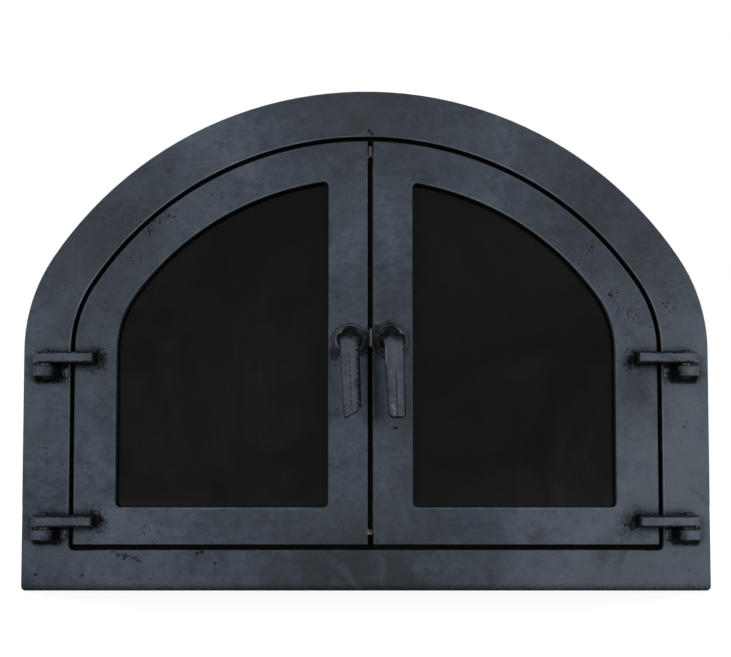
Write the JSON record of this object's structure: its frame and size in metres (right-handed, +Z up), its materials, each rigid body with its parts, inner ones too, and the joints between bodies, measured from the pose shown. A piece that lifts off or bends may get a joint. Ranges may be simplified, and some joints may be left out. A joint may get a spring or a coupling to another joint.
{
  "type": "stove door",
  "caption": "Arched cast-iron stove door: hinged glazed leaves with lever latches in a flanged frame with a stop ring and a rear collar for building in.",
  "frame": {"origin": "middle of the sill's lower edge on the flange's wall side", "axes": "+X right seen from the front, +Y into the wall, +Z up; the door faces -Y"},
  "size_m": [0.6, 0.094, 0.4399],
  "materials": {
    "painted_iron": "matte stove paint",
    "steel": "plain",
    "dark_glass": "smoked",
    "fibre_seal": "woven"
  },
  "bodies": {
    "frame": {"outer_frame": "painted_iron", "wall_collar": "painted_iron", "stop_ring": "painted_iron", "frame_seal": "fibre_seal", "left_lower_hinge_lug": "painted_iron", "left_lower_hinge_pin": "steel", "left_lower_hinge_washer": "steel", "left_upper_hinge_lug": "painted_iron", "left_upper_hinge_pin": "steel", "left_upper_hinge_washer": "steel", "right_lower_hinge_lug": "painted_iron", "right_lower_hinge_pin": "steel", "right_lower_hinge_washer": "steel", "right_upper_hinge_lug": "painted_iron", "right_upper_hinge_pin": "steel", "right_upper_hinge_washer": "steel"},
    "left_leaf_body": {"meeting_strip": "steel", "meeting_strip_screws": "steel", "meeting_seal": "fibre_seal", "left_leaf": "painted_iron", "left_glass": "dark_glass", "left_glass_gasket": "fibre_seal", "left_glass_clips": "steel", "left_clip_screws": "steel", "left_rosette": "painted_iron"},
    "right_leaf_body": {"right_leaf": "painted_iron", "right_glass": "dark_glass", "right_glass_gasket": "fibre_seal", "right_glass_clips": "steel", "right_clip_screws": "steel", "right_rosette": "painted_iron"},
    "left_handle_body": {"left_handle": "painted_iron", "left_spindle_washer": "steel", "left_latch_tongue": "steel", "left_spindle_nut": "steel"},
    "right_handle_body": {"right_handle": "painted_iron", "right_spindle_washer": "steel", "right_latch_tongue": "steel", "right_spindle_nut": "steel"}
  },
  "joints": [
    {"name": "left_leaf_hinge", "type": "hinge", "parent": "frame", "child": "left_leaf_body", "pos_m": [-0.278, -0.022, 0.06], "axis": [0, 0, -1], "range_deg": [0, 170]},
    {"name": "right_leaf_hinge", "type": "hinge", "parent": "frame", "child": "right_leaf_body", "pos_m": [0.278, -0.022, 0.06], "axis": [0, 0, 1], "range_deg": [0, 170]},
    {"name": "left_handle_turn", "type": "hinge", "parent": "left_leaf_body", "child": "left_handle_body", "pos_m": [-0.01425, -0.013, 0.2175], "axis": [0, 1, 0], "range_deg": [0, 90]},
    {"name": "right_handle_turn", "type": "hinge", "parent": "right_leaf_body", "child": "right_handle_body", "pos_m": [0.02225, -0.013, 0.2175], "axis": [0, -1, 0], "range_deg": [0, 90]}
  ]
}
